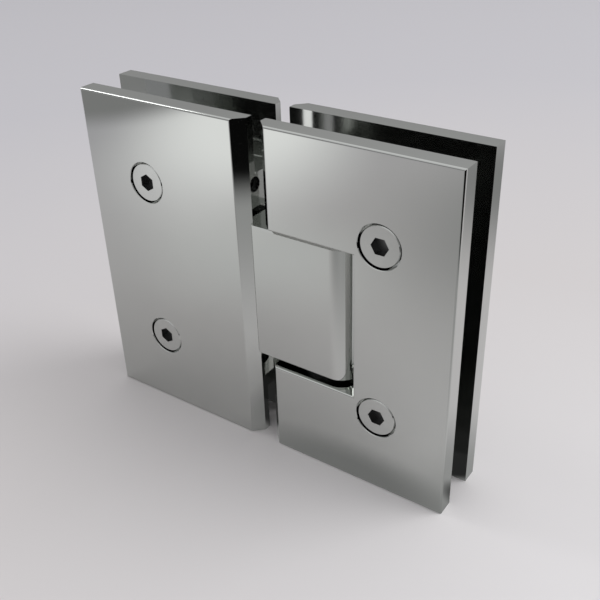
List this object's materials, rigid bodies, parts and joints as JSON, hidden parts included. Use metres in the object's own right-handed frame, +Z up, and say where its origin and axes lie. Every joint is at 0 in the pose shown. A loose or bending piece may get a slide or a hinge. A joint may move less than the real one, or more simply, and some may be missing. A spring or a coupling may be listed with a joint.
{
  "type": "glass-to-glass shower hinge",
  "caption": "Square chrome shower hinge joining a glass door to a fixed glass panel: clamping leaves on either side of a pivot block with a sprung self-centring pin.",
  "frame": {"origin": "middle of the hinge's footprint, on the plane of the leaves' lower edges", "axes": "+X from the fixed leaf to the door leaf, +Y from the screw side to the plain side, +Z up along the pivot pin"},
  "size_m": [0.1068, 0.0188, 0.09],
  "materials": {
    "chrome": "polished chrome plate on brass",
    "screw_chrome": "polished, turned head face",
    "steel": "plain bright steel",
    "pin_steel": "ground stainless steel",
    "plunger_steel": "ground steel",
    "bronze": "plain bearing bronze",
    "nylon": "black nylon"
  },
  "bodies": {
    "fixed_leaf": {"fixed_front_plate": "chrome", "fixed_back_plate": "chrome", "pivot_block": "chrome", "fixed_clamp_screws": "screw_chrome", "tongue_screws": "steel", "lower_spring_plug": "steel", "upper_spring_plug": "steel", "lower_spring": "steel", "upper_spring": "steel", "lower_bush": "bronze", "upper_bush": "bronze", "lower_thrust_washer": "nylon", "upper_thrust_washer": "nylon", "lower_plunger": "plunger_steel", "upper_plunger": "plunger_steel"},
    "door_leaf": {"door_front_plate": "chrome", "door_back_plate": "chrome", "door_clamp_screws": "screw_chrome", "pivot_pin": "pin_steel", "pin_grub_screws": "steel"}
  },
  "joints": [
    {"name": "door_swing", "type": "hinge", "parent": "fixed_leaf", "child": "door_leaf", "pos_m": [0.0151, 0, 0.045], "axis": [0, 0, 1], "range_deg": [-90, 90]}
  ]
}
